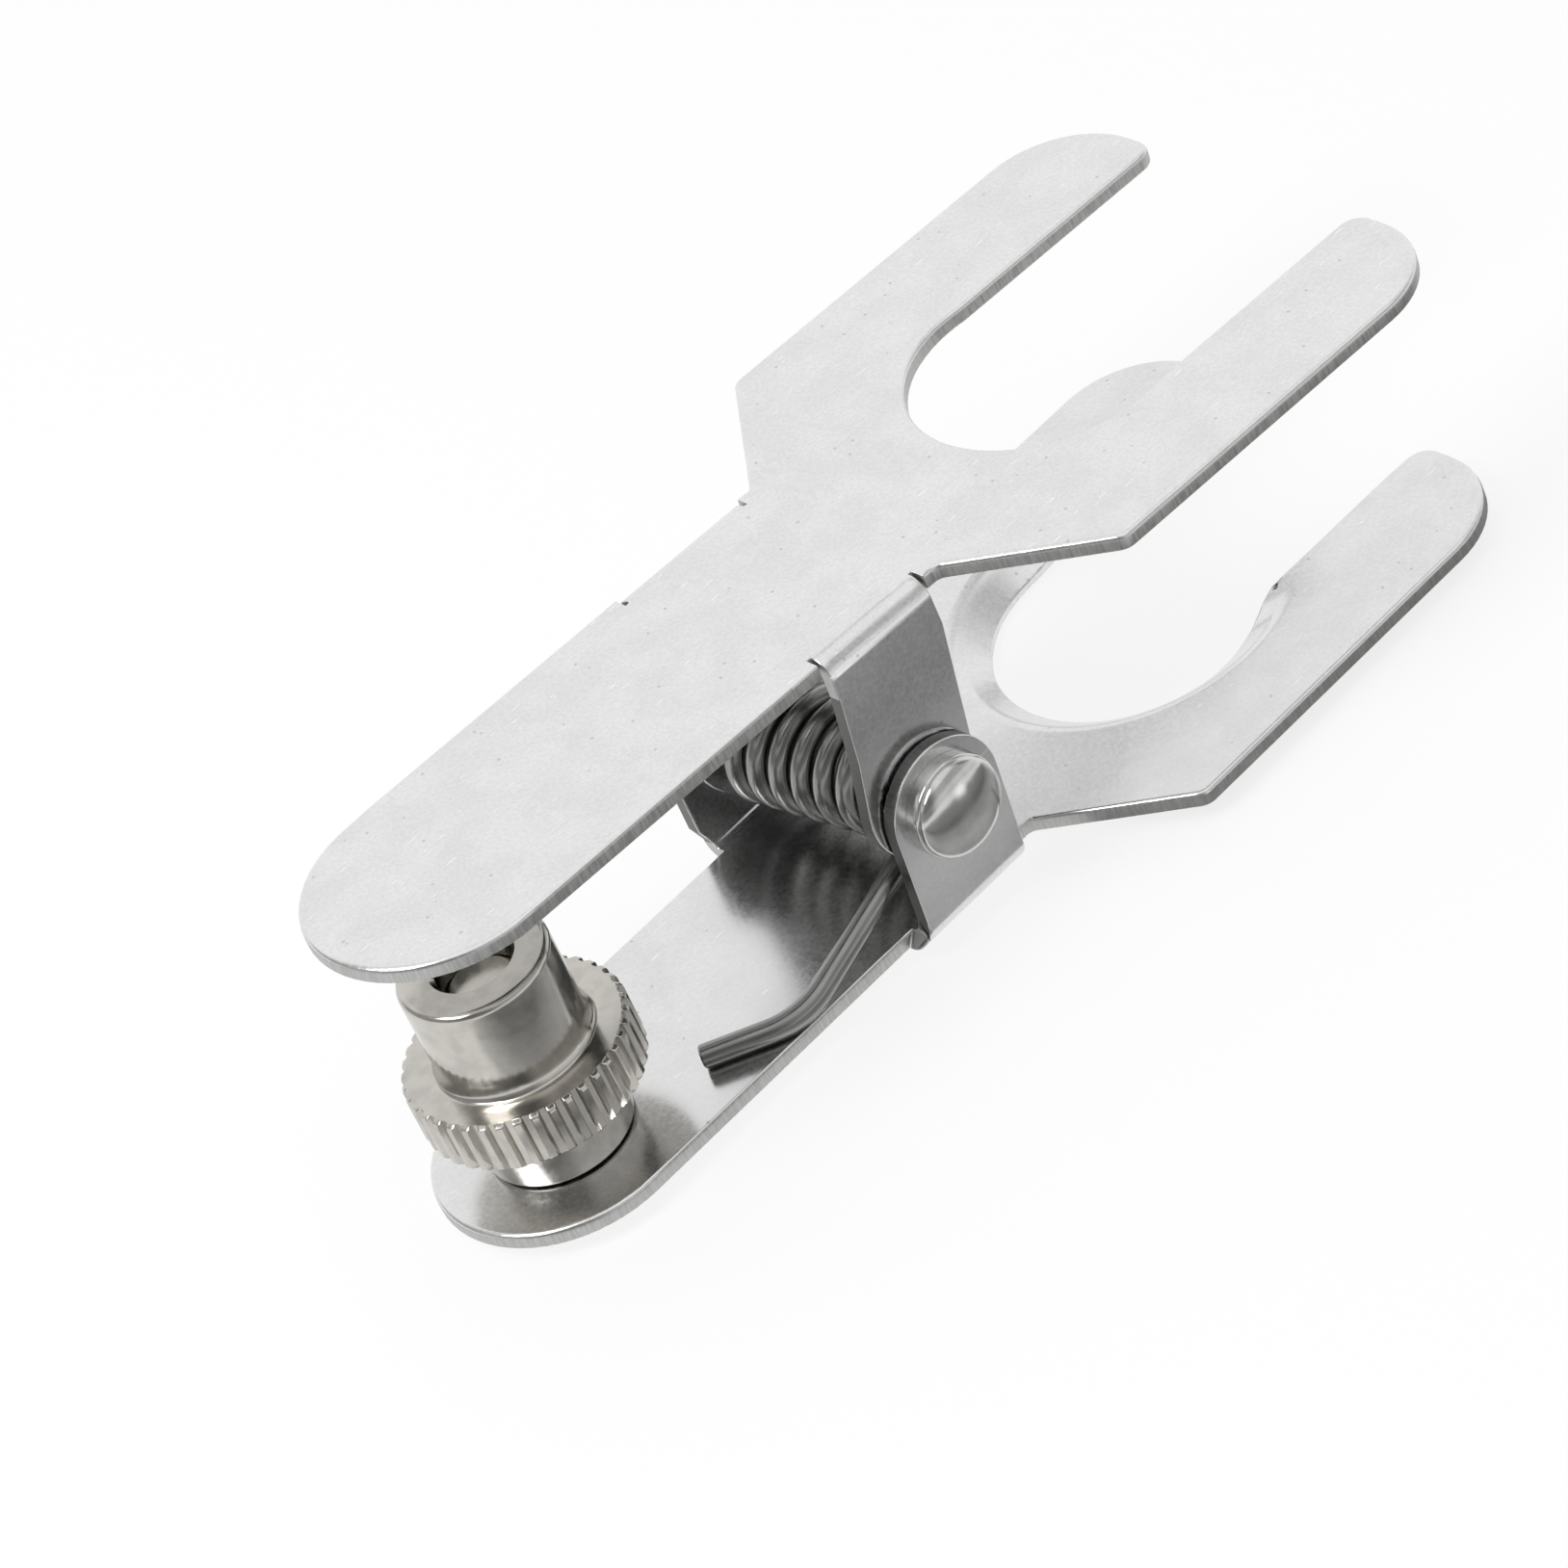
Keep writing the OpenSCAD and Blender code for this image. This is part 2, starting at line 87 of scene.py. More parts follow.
# Room: a white paper floor under a white tent. The tent is open at the front, between
# its lower edge and its roof. A grey card lies on the floor before the clamp, and a small
# card that glows, though it is no lamp, stands on it, for the rivet to mirror as a highlight.
FRONT_FADE = (0.25, -0.35)
LEFT_FADE = (-0.15, -0.55)
LEFT_LEVEL = 0.4
ROOF_SEAM = [(0.0, 1.0), (0.70, 1.0), (0.775, 0.6), (0.85, 1.0)]
FRONT_OPENING = [(0.0, 0.75), (0.22, 0.8), (0.36, 0.52), (0.66, 0.52), (0.84, 1.0)]
FLOOR_R = 3.0
FLOOR_Z = -0.05 * MM
FLOOR_SIDES = 96
PAPER_GLOW = 0.8
CARD_X = (-0.080, 0.060)
CARD_START = -0.0125
CARD_DEPTH = 0.070
CARD_Z = 0.0002
CARD_LEVELS = [
    (0.0, 0.62),
    (0.24, 0.58),
    (0.33, 0.40),
    (0.40, 0.20),
    (0.49, 0.27),
    (0.60, 0.30),
    (1.0, 0.5),
]
GLOW_MIDDLE = (-0.0119, -0.0413, 0.0066)
GLOW_R = 0.0066
GLOW_CORE = 0.25
GLOW_LEVEL = 1.4


def linear(hex_colour):
    """Linear red, green, blue and alpha of an sRGB hex colour."""
    values = [int(hex_colour[k : k + 2], 16) / 255 for k in (0, 2, 4)]
    return [v / 12.92 if v <= 0.04045 else ((v + 0.055) / 1.055) ** 2.4 for v in values] + [1]


def add(tree, kind, settings=None, links=None):
    """Adds a node. Settings name its properties or sockets, and links name its sockets."""
    n = tree.nodes.new(kind)
    for key, value in (settings or {}).items():
        if isinstance(key, str) and hasattr(n, key):
            setattr(n, key, value)
        else:
            n.inputs[key].default_value = value
    for key, source in (links or {}).items():
        tree.links.new(source, n.inputs[key])
    return n


def stops(ramp, values):
    """Sets a colour ramp's stops from pairs of position and grey level or colour."""
    ramp.color_ramp.interpolation = "EASE"
    while len(ramp.color_ramp.elements) < len(values):
        ramp.color_ramp.elements.new(0.5)
    for stop, (position, level) in zip(ramp.color_ramp.elements, values):
        stop.position = position
        stop.color = level if isinstance(level, list) else (level, level, level, 1)


def white_tent():
    """The world: white, with a seam in the roof, dimmer to the left, and dim at the front
    between the table and the roof. The fades are along Y and X of the direction seen, and
    the levels go by its Z."""
    world = bpy.data.worlds.new("white_tent")
    scene.world = world
    world.use_nodes = True
    tree = world.node_tree
    place = add(tree, "ShaderNodeTexCoord")
    way = add(tree, "ShaderNodeSeparateXYZ", links={0: place.outputs["Generated"]})
    front = add(
        tree,
        "ShaderNodeMapRange",
        {"interpolation_type": "SMOOTHSTEP", "From Min": FRONT_FADE[0], "From Max": FRONT_FADE[1]},
        {"Value": way.outputs["Y"]},
    )
    back = add(tree, "ShaderNodeValToRGB", links={"Fac": way.outputs["Z"]})
    stops(back, ROOF_SEAM)
    opening = add(tree, "ShaderNodeValToRGB", links={"Fac": way.outputs["Z"]})
    stops(opening, FRONT_OPENING)
    level = add(
        tree,
        "ShaderNodeMix",
        {"data_type": "RGBA"},
        {"Factor": front.outputs["Result"], "A": back.outputs["Color"], "B": opening.outputs["Color"]},
    )
    left = add(
        tree,
        "ShaderNodeMapRange",
        {
            "interpolation_type": "SMOOTHSTEP",
            "From Min": LEFT_FADE[0],
            "From Max": LEFT_FADE[1],
            "To Min": 1.0,
            "To Max": LEFT_LEVEL,
        },
        {"Value": way.outputs["X"]},
    )
    strength = add(
        tree,
        "ShaderNodeMix",
        {"data_type": "RGBA", "blend_type": "MULTIPLY", "Factor": 1.0},
        {"A": level.outputs["Result"], "B": left.outputs["Result"]},
    )
    tree.links.new(strength.outputs["Result"], tree.nodes["Background"].inputs["Color"])
    tree.nodes["Background"].inputs["Strength"].default_value = 1.0


def softbox(name, place, size, power):
    """A square lamp that faces the clamp."""
    lamp = bpy.data.objects.new(name, bpy.data.lights.new(name, "AREA"))
    lamp.data.size = size
    lamp.data.energy = power
    lamp.location = place
    lamp.rotation_euler = Vector(place).to_track_quat("Z", "Y").to_euler()
    scene.collection.objects.link(lamp)


def paper(name, colour):
    """White paper: dull, and seen by the camera and in metal it is partly lit from below,
    so that the clamp's shadow stays light."""
    m = bpy.data.materials.new(name)
    m.use_nodes = True
    tree = m.node_tree
    shader = tree.nodes["Principled BSDF"]
    shader.inputs["Base Color"].default_value = linear(colour)
    shader.inputs["Roughness"].default_value = 1.0
    shader.inputs["Specular IOR Level"].default_value = 0.0
    ray = add(tree, "ShaderNodeLightPath")
    seen = add(
        tree,
        "ShaderNodeMath",
        {"operation": "MAXIMUM"},
        {0: ray.outputs["Is Camera Ray"], 1: ray.outputs["Is Glossy Ray"]},
    )
    through = add(
        tree,
        "ShaderNodeMath",
        {"operation": "MAXIMUM"},
        {0: seen.outputs["Value"], 1: ray.outputs["Is Transmission Ray"]},
    )
    share = add(
        tree,
        "ShaderNodeMath",
        {"operation": "MULTIPLY", 1: PAPER_GLOW},
        {0: through.outputs["Value"]},
    )
    glow = add(tree, "ShaderNodeEmission", {"Color": (1, 1, 1, 1), "Strength": 1.0})
    both = add(
        tree,
        "ShaderNodeMixShader",
        links={0: share.outputs["Value"], 1: shader.outputs["BSDF"], 2: glow.outputs["Emission"]},
    )
    tree.links.new(both.outputs["Shader"], tree.nodes["Material Output"].inputs["Surface"])
    return m


def grey_card(name, levels, depth):
    """Material of a grey card, whose level changes with the distance out to the clamp's
    side, up to depth. levels are pairs of a share of depth and a grey level."""
    m = bpy.data.materials.new(name)
    m.use_nodes = True
    tree = m.node_tree
    shader = tree.nodes["Principled BSDF"]
    shader.inputs["Roughness"].default_value = 1.0
    shader.inputs["Specular IOR Level"].default_value = 0.0
    place = add(tree, "ShaderNodeTexCoord")
    way = add(tree, "ShaderNodeSeparateXYZ", links={0: place.outputs["Object"]})
    out = add(tree, "ShaderNodeMath", {"operation": "ABSOLUTE"}, {0: way.outputs["Y"]})
    far = add(tree, "ShaderNodeMapRange", {"From Max": depth}, {"Value": out.outputs["Value"]})
    tone = add(tree, "ShaderNodeValToRGB", links={"Fac": far.outputs["Result"]})
    stops(tone, levels)
    tree.links.new(tone.outputs["Color"], shader.inputs["Base Color"])
    return m


def soft_glowing_card(name, middle, radius, level):
    """Material of a small card that glows, though it is no lamp: brightest round its middle, and gone at
    its rim.
    """
    m = bpy.data.materials.new(name)
    m.use_nodes = True
    tree = m.node_tree
    place = add(tree, "ShaderNodeTexCoord")
    out = add(
        tree,
        "ShaderNodeVectorMath",
        {"operation": "DISTANCE", 1: middle},
        {"Vector": place.outputs["Object"]},
    )
    fade = add(
        tree,
        "ShaderNodeMapRange",
        {
            "interpolation_type": "SMOOTHSTEP",
            "From Min": GLOW_CORE * radius,
            "From Max": radius,
            "To Min": 1.0,
            "To Max": 0.0,
        },
        {"Value": out.outputs["Value"]},
    )
    clear = add(tree, "ShaderNodeBsdfTransparent")
    glow = add(tree, "ShaderNodeEmission", {"Strength": level})
    both = add(
        tree,
        "ShaderNodeMixShader",
        links={0: fade.outputs["Result"], 1: clear.outputs["BSDF"], 2: glow.outputs["Emission"]},
    )
    tree.links.new(both.outputs["Shader"], tree.nodes["Material Output"].inputs["Surface"])
    return m


def flat_piece(name, corners, material):
    """A flat polygon of the room."""
    mesh = bpy.data.meshes.new(name)
    mesh.from_pydata(corners, [], [list(range(len(corners)))])
    mesh.materials.append(material)
    piece = bpy.data.objects.new(name, mesh)
    scene.collection.objects.link(piece)
    return piece


def metal_only(card):
    """Lets a card show in the metal alone: it throws no shadow and lights nothing."""
    card.visible_camera = False
    card.visible_diffuse = False
    card.visible_shadow = False
    card.visible_transmission = False


white_tent()
softbox("left_softbox", place=(-0.32, 0.04, 0.40), size=0.22, power=1.0)
floor_angles = [math.tau * k / FLOOR_SIDES for k in range(FLOOR_SIDES)]
flat_piece(
    "floor",
    [(FLOOR_R * math.cos(a), FLOOR_R * math.sin(a), FLOOR_Z) for a in floor_angles],
    paper("white_paper", "FCFCFC"),
)
right_card = flat_piece(
    "right_card",
    [
        (CARD_X[0], CARD_START, CARD_Z),
        (CARD_X[1], CARD_START, CARD_Z),
        (CARD_X[1], -CARD_DEPTH, CARD_Z),
        (CARD_X[0], -CARD_DEPTH, CARD_Z),
    ],
    grey_card("shaded_card", CARD_LEVELS, CARD_DEPTH),
)
metal_only(right_card)
# A card that glows without being a lamp, seen only in the metal, to give the rivet's head its highlight.
window_card = flat_piece(
    "window_card",
    [
        (GLOW_MIDDLE[0] - GLOW_R, GLOW_MIDDLE[1], GLOW_MIDDLE[2] - GLOW_R + CARD_Z),
        (GLOW_MIDDLE[0] + GLOW_R, GLOW_MIDDLE[1], GLOW_MIDDLE[2] - GLOW_R + CARD_Z),
        (GLOW_MIDDLE[0] + GLOW_R, GLOW_MIDDLE[1], GLOW_MIDDLE[2] + GLOW_R),
        (GLOW_MIDDLE[0] - GLOW_R, GLOW_MIDDLE[1], GLOW_MIDDLE[2] + GLOW_R),
    ],
    soft_glowing_card("glowing_card", GLOW_MIDDLE, GLOW_R, GLOW_LEVEL),
)
metal_only(window_card)


# Jaws: two forks stamped from stainless sheet, 1.1 mm thick, with their ears folded square
# to it. The press rolls the upper edge over, leaves the cut streaked and tears its last
# part. Tumbling makes the faces satin, with a few fine pits and scratches.
SHEET_T = 1.1 * MM
LOWER_TOP = 2.4 * MM
UPPER_FACE = 12.7 * MM
EAR_BACK = 6.6 * MM
EAR_FRONT = 5.4 * MM
EAR_Y = 9.0 * MM
EAR_IN = 8.0 * MM
# Where the folds of the ears end along the jaws, from the pivot.
LEFT_LOWER_BACK = -7.5 * MM
RIGHT_LOWER_BACK = -5.9 * MM
LEFT_UPPER_BACK = -5.45 * MM
RIGHT_UPPER_BACK = -3.85 * MM
LOWER_FRONT = 3.7 * MM
UPPER_FRONT = 5.15 * MM
FOLD_ENDS = (
    LEFT_LOWER_BACK,
    RIGHT_LOWER_BACK,
    LEFT_UPPER_BACK,
    RIGHT_UPPER_BACK,
    LOWER_FRONT,
    UPPER_FRONT,
)
FOLD_Y = 7.5 * MM
END_REACH = 0.8 * MM
# Edges: how far each is rounded, and how a crease, a rolled edge and the room beside an edge
# are told.
ROLL_R = 0.36 * MM
ROLL_STEPS = 4
BURR_SHARE = 0.3
CREASE = 30
ROLLED_SIDE = 0.3
MOST_ROOM = 4 * ROLL_R
ROOM_SHARE = 0.45
SIDEWAYS = 0.77
WELD = 0.01 * MM
FLAT_ANGLE = 0.3
CUT_SNAP = 0.02 * MM
# Seat: a ring round the lower slot's round bottom, pressed down into a dish.
SEAT_R = 9.5 * MM
SEAT_LAP = 0.2 * MM
DISH_R = 12.4 * MM
DISH_SLACK = 0.02 * MM
DISH_DEPTH = 2.0 * MM
DISH_BULGE = 1.3 * MM
DISH_ROUND = 0.4
DISH_FADE = 45
DISH_NEAR = 0.15 * MM
RING_STEP = 0.1 * MM
THROAT_R = 10.35 * MM
THROAT_ANGLE = 58
SLOT_CORNER = (5.0 * MM, 9.05 * MM)
CORNER_REACH = 2.2 * MM
# Finishes, numbered as the materials of a jaw are, and how a face's finish is told.
SKIN, PLATE_EDGE, EAR_EDGE_PAINTED_SHADE, BURR_PAINTED_GLINTS = range(4)
EDGE_SLACK = 0.05 * MM
EDGE_UP = 0.45
EDGE_DOWN = -0.93
BURR_DOWN = -0.3
FOLD_SIDE = 0.3
EAR_START = 0.3 * MM
EAR_SIDE = 0.45
# Surface: spacing of each pattern, the share of cells that hold a pit, and the scratches' way.
GRAIN = 0.25 * MM
CLOUD = 3.5 * MM
PIT_CELL = 1.1 * MM
PIT_SHARE = 0.28
SCRATCH_SIZE = 0.4 * MM
SCRATCH_ANGLE = 62
STREAK = 0.15 * MM
BEAD = 0.3 * MM
seat = {m["name"]: m for m in record["mounts"]}
joint = {j["name"]: j for j in record["behaviour"]["joints"]}
pivot = Vector(joint["jaw_hinge"]["pos_m"])
upper_axis = seat["upper_seat"]["axis"]
upper_tilt = math.atan2(upper_axis[0], upper_axis[2])


def shaded(colour, factor):
    """A linear colour made darker or lighter."""
    return [factor * v for v in linear(colour)[:3]] + [1]


def tumbled_steel(name, colour):
    """Tumbled stainless sheet, stamped from cold-rolled 304: a satin white metal with a
    fine grain, soft clouds, and a few pits and short scratches in each square centimetre.
    The grain is drawn coarser than the real one, so that it shows."""
    m = bpy.data.materials.new(name)
    m.use_nodes = True
    tree = m.node_tree
    shader = tree.nodes["Principled BSDF"]
    shader.inputs["Metallic"].default_value = 1.0
    place = add(tree, "ShaderNodeTexCoord").outputs["Object"]
    grain = add(tree, "ShaderNodeTexNoise", {"Scale": 1 / GRAIN, "Detail": 3.0}, {"Vector": place})
    cloud = add(tree, "ShaderNodeTexNoise", {"Scale": 1 / CLOUD, "Detail": 3.0}, {"Vector": place})
    cells = add(tree, "ShaderNodeTexVoronoi", {"Scale": 1 / PIT_CELL}, {"Vector": place})
    hole = add(tree, "ShaderNodeValToRGB", links={"Fac": cells.outputs["Distance"]})
    stops(hole, [(0.0, 1.0), (0.07, 1.0), (0.14, 0.0)])
    chosen = add(tree, "ShaderNodeSeparateXYZ", links={0: cells.outputs["Color"]})
    few = add(
        tree,
        "ShaderNodeMath",
        {"operation": "GREATER_THAN", 1: 1 - PIT_SHARE},
        {0: chosen.outputs["X"]},
    )
    pit = add(
        tree,
        "ShaderNodeMath",
        {"operation": "MULTIPLY"},
        {0: hole.outputs["Color"], 1: few.outputs["Value"]},
    )
    along = add(
        tree,
        "ShaderNodeMapping",
        {"Rotation": (0, 0, math.radians(SCRATCH_ANGLE)), "Scale": (0.22, 1.5, 1.0)},
        {"Vector": place},
    )
    dashes = add(
        tree,
        "ShaderNodeTexNoise",
        {"Scale": 1 / SCRATCH_SIZE},
        {"Vector": along.outputs["Vector"]},
    )
    scratch = add(tree, "ShaderNodeValToRGB", links={"Fac": dashes.outputs["Fac"]})
    stops(scratch, [(0.0, 0.0), (0.70, 0.0), (0.74, 1.0)])
    tone = add(tree, "ShaderNodeValToRGB", links={"Fac": cloud.outputs["Fac"]})
    stops(tone, [(0.35, shaded(colour, 0.965)), (0.65, shaded(colour, 1.015))])
    fine = add(tree, "ShaderNodeValToRGB", links={"Fac": grain.outputs["Fac"]})
    stops(fine, [(0.32, 0.925), (0.68, 1.0)])
    body = add(
        tree,
        "ShaderNodeMix",
        {"data_type": "RGBA", "blend_type": "MULTIPLY", "Factor": 1.0},
        {"A": tone.outputs["Color"], "B": fine.outputs["Color"]},
    )
    pitted = add(
        tree,
        "ShaderNodeMix",
        {"data_type": "RGBA", "B": shaded(colour, 0.72)},
        {"Factor": pit.outputs["Value"], "A": body.outputs["Result"]},
    )
    worn = add(
        tree,
        "ShaderNodeMix",
        {"data_type": "RGBA", "B": shaded(colour, 1.12)},
        {"Factor": scratch.outputs["Color"], "A": pitted.outputs["Result"]},
    )
    tree.links.new(worn.outputs["Result"], shader.inputs["Base Color"])
    gloss = add(
        tree,
        "ShaderNodeMapRange",
        {"From Min": 0.3, "From Max": 0.7, "To Min": 0.17, "To Max": 0.25},
        {"Value": grain.outputs["Fac"]},
    )
    tree.links.new(gloss.outputs["Result"], shader.inputs["Roughness"])
    height = add(
        tree,
        "ShaderNodeMath",
        {"operation": "MULTIPLY_ADD", 1: -2.5},
        {0: pit.outputs["Value"], 2: grain.outputs["Fac"]},
    )
    bump = add(
        tree,
        "ShaderNodeBump",
        {"Strength": 0.35, "Distance": 0.004 * MM},
        {"Height": height.outputs["Value"]},
    )
    tree.links.new(bump.outputs["Normal"], shader.inputs["Normal"])
    return m


def sheared_steel(name, colour, through):
    """Sheared stainless edge, as the punch leaves it: darker than the face, with fine
    streaks through the sheet. through is the axis across the sheet."""
    m = bpy.data.materials.new(name)
    m.use_nodes = True
    tree = m.node_tree
    shader = tree.nodes["Principled BSDF"]
    shader.inputs["Metallic"].default_value = 1.0
    place = add(tree, "ShaderNodeTexCoord").outputs["Object"]
    stretch = [1.0, 1.0, 1.0]
    stretch[through] = 0.1
    drawn = add(tree, "ShaderNodeMapping", {"Scale": stretch}, {"Vector": place})
    streaks = add(
        tree,
        "ShaderNodeTexNoise",
        {"Scale": 1 / STREAK, "Detail": 2.0},
        {"Vector": drawn.outputs["Vector"]},
    )
    tone = add(tree, "ShaderNodeValToRGB", links={"Fac": streaks.outputs["Fac"]})
    stops(tone, [(0.35, shaded(colour, 0.86)), (0.65, shaded(colour, 1.08))])
    tree.links.new(tone.outputs["Color"], shader.inputs["Base Color"])
    gloss = add(
        tree,
        "ShaderNodeMapRange",
        {"From Min": 0.35, "From Max": 0.65, "To Min": 0.35, "To Max": 0.5},
        {"Value": streaks.outputs["Fac"]},
    )
    tree.links.new(gloss.outputs["Result"], shader.inputs["Roughness"])
    bump = add(
        tree,
        "ShaderNodeBump",
        {"Strength": 0.6, "Distance": 0.012 * MM},
        {"Height": streaks.outputs["Fac"]},
    )
    tree.links.new(bump.outputs["Normal"], shader.inputs["Normal"])
    return m


def burr_steel_painted_glints(name, colour):
    """Torn lip under a sheared edge: rough, in small beads, whose middles are painted bright and the ground
    between them dark: painted highlights and painted shade.
    """
    m = bpy.data.materials.new(name)
    m.use_nodes = True
    tree = m.node_tree
    shader = tree.nodes["Principled BSDF"]
    shader.inputs["Metallic"].default_value = 1.0
    shader.inputs["Roughness"].default_value = 0.5
    place = add(tree, "ShaderNodeTexCoord").outputs["Object"]
    beads = add(tree, "ShaderNodeTexVoronoi", {"Scale": 1 / BEAD}, {"Vector": place})
    # Painted highlights and shade: bright at each bead's middle, dark between the beads.
    tone = add(tree, "ShaderNodeValToRGB", links={"Fac": beads.outputs["Distance"]})
    stops(tone, [(0.3, shaded(colour, 1.0)), (0.6, shaded(colour, 0.35))])
    tree.links.new(tone.outputs["Color"], shader.inputs["Base Color"])
    bump = add(
        tree,
        "ShaderNodeBump",
        {"Strength": 0.8, "Distance": 0.05 * MM, "invert": True},
        {"Height": beads.outputs["Distance"]},
    )
    tree.links.new(bump.outputs["Normal"], shader.inputs["Normal"])
    return m


def clamped(v):
    """A value kept between 0 and 1."""
    return min(1.0, max(0.0, v))


def off_slot(p):
    """How far a point has turned from the slot's way in, in degrees, about the seat."""
    return abs(math.degrees(math.atan2(p.y, p.x)))


def in_dish(p):
    """Whether a point is in the ring pressed down round the lower seat."""
    return math.hypot(p.x, p.y) < DISH_R + DISH_SLACK and off_slot(p) > THROAT_ANGLE


def pressed(p):
    """How far the ring is pressed down at a point, from 0 to 1: it fades towards the
    throat, and is steepest at the seat."""
    turned = clamped((off_slot(p) - THROAT_ANGLE) / DISH_FADE)
    share = 1 - (1 - turned) ** 2
    inner = THROAT_R + (SEAT_R - SEAT_LAP - THROAT_R) * share
    t = clamped((DISH_R - math.hypot(p.x, p.y)) / (DISH_R - inner))
    fall = t * t / (2 * DISH_ROUND) if t < DISH_ROUND else t - DISH_ROUND / 2
    return share * fall / (1 - DISH_ROUND / 2)


def smooth_dish(bm, top):
    """Splits the ring's facets and puts their corners on its true surface."""
    ring = []
    for e in bm.edges:
        a, b = (v.co for v in e.verts)
        if in_dish(a) and in_dish(b) and math.hypot(a.x - b.x, a.y - b.y) > RING_STEP:
            ring.append(e)
    bmesh.ops.subdivide_edges(bm, edges=ring, cuts=2, use_grid_fill=True)
    for v in bm.verts:
        if in_dish(v.co) and math.hypot(v.co.x, v.co.y) < DISH_R - DISH_SLACK:
            share = pressed(v.co)
            for z in (top - DISH_DEPTH * share, top - SHEET_T - DISH_BULGE * share):
                if abs(v.co.z - z) < DISH_NEAR:
                    v.co.z = z


def finish_at(place, normal, plate_low, ears_up):
    """Which finish a face has. The place and normal are in the jaw's own frame, from the
    pivot, and plate_low is the height of the plate's underside there."""
    above = place.z - plate_low
    beside_ear = -EAR_BACK < place.x < EAR_FRONT
    if -EDGE_SLACK < above < SHEET_T + EDGE_SLACK and EDGE_DOWN < normal.z < EDGE_UP:
        if beside_ear and abs(place.y) > EAR_Y and abs(normal.x) < FOLD_SIDE:
            return SKIN
        # The torn lip's finish holds painted highlights and shade on its beads.
        return BURR_PAINTED_GLINTS if normal.z < BURR_DOWN else PLATE_EDGE
    past = above - SHEET_T if ears_up else -above
    # Cut edges of the ears, whose darker steel is painted shade.
    if past > EAR_START and abs(normal.y) < EAR_SIDE and beside_ear and abs(place.y) > EAR_IN:
        return EAR_EDGE_PAINTED_SHADE
    return SKIN


def room_beside(e):
    """Length of the shortest edge that leaves an edge sideways, at either end."""
    along = (e.verts[1].co - e.verts[0].co).normalized()
    room = MOST_ROOM
    for v in e.verts:
        for other in v.link_edges:
            way = other.other_vert(v).co - v.co
            if other != e and way.length > 0 and abs(way.normalized().dot(along)) < SIDEWAYS:
                room = min(room, way.length)
    return room


def weigh_edges(bm, own, plate_low, ears_up):
    """Sets how far each crease of a jaw is rounded, as a share of ROLL_R."""
    turn = own.to_3x3()
    weight = bm.edges.layers.float.new("bevel_weight_edge")
    for e in bm.edges:
        if len(e.link_faces) != 2 or e.calc_face_angle() < math.radians(CREASE):
            continue
        middle = (e.verts[0].co + e.verts[1].co) / 2
        side = math.copysign(1, middle.y) * (-1 if ears_up else 1)
        skins = [
            turn @ f.normal
            for f in e.link_faces
            if finish_at(own @ f.calc_center_median(), turn @ f.normal, plate_low, ears_up) == SKIN
        ]
        rolled = any(n.z + side * n.y > ROLLED_SIDE for n in skins)
        spot = own @ middle
        fold_end = abs(spot.y) > FOLD_Y and any(abs(spot.x - x) < END_REACH for x in FOLD_ENDS)
        if fold_end or (ears_up and in_dish(middle)):
            rolled = False
        share = 1.0 if rolled else BURR_SHARE
        from_corner = math.hypot(middle.x - SLOT_CORNER[0], abs(middle.y) - SLOT_CORNER[1])
        if ears_up and from_corner < CORNER_REACH:
            share = 0.0
        e[weight] = min(share, ROOM_SHARE * room_beside(e) / ROLL_R)


def jaw(node, name, tilt, plate_low, ears_up, materials):
    """A jaw: its CAD mesh with rolled, sheared and burred edges, each in its finish."""
    mesh = frame["nodes"][node].data.copy()
    mesh.materials.clear()
    own = Matrix.Rotation(-tilt, 4, "Y") @ Matrix.Translation(-pivot)
    turn = own.to_3x3()
    bm = bmesh.new()
    bm.from_mesh(mesh)
    bmesh.ops.remove_doubles(bm, verts=bm.verts, dist=WELD)
    flat = math.radians(FLAT_ANGLE)
    bmesh.ops.dissolve_limit(bm, angle_limit=flat, verts=bm.verts, edges=bm.edges)
    for x in FOLD_ENDS:
        for side in (-1, 1):
            bmesh.ops.bisect_plane(
                bm,
                geom=[*bm.verts, *bm.edges, *bm.faces],
                dist=CUT_SNAP,
                plane_co=own.inverted() @ Vector((x + side * END_REACH, 0, 0)),
                plane_no=turn.inverted() @ Vector((1, 0, 0)),
            )
    if ears_up:
        smooth_dish(bm, LOWER_TOP)
    bm.normal_update()
    weigh_edges(bm, own, plate_low, ears_up)
    for f in bm.faces:
        f.smooth = True
    bm.to_mesh(mesh)
    bm.free()
    blank = bpy.data.objects.new(name + "_blank", mesh)
    scene.collection.objects.link(blank)
    rounding = blank.modifiers.new("rounding", "BEVEL")
    rounding.limit_method = "WEIGHT"
    rounding.width = ROLL_R
    rounding.segments = ROLL_STEPS
    rounding.use_clamp_overlap = False
    evened = blank.modifiers.new("evened", "WEIGHTED_NORMAL")
    evened.keep_sharp = True
    bpy.context.view_layer.update()
    rounded = blank.evaluated_get(bpy.context.evaluated_depsgraph_get())
    made = bpy.data.meshes.new_from_object(rounded)
    bpy.data.objects.remove(blank)
    for m in materials:
        made.materials.append(m)
    for f in made.polygons:
        f.material_index = finish_at(own @ f.center, turn @ f.normal, plate_low, ears_up)
    piece = bpy.data.objects.new(name, made)
    scene.collection.objects.link(piece)
    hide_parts(node)
    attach(piece, frame["nodes"][node]["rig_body"])


# The same steel in each of its finishes: the cut edges are darker than the faces. Those of
# the ears are darker still, which is painted shade, and the torn lip is the brightest, with painted
# highlights on its beads.
plate_edge = sheared_steel("sheared_plate_edge", "BCBCBA", through=2)
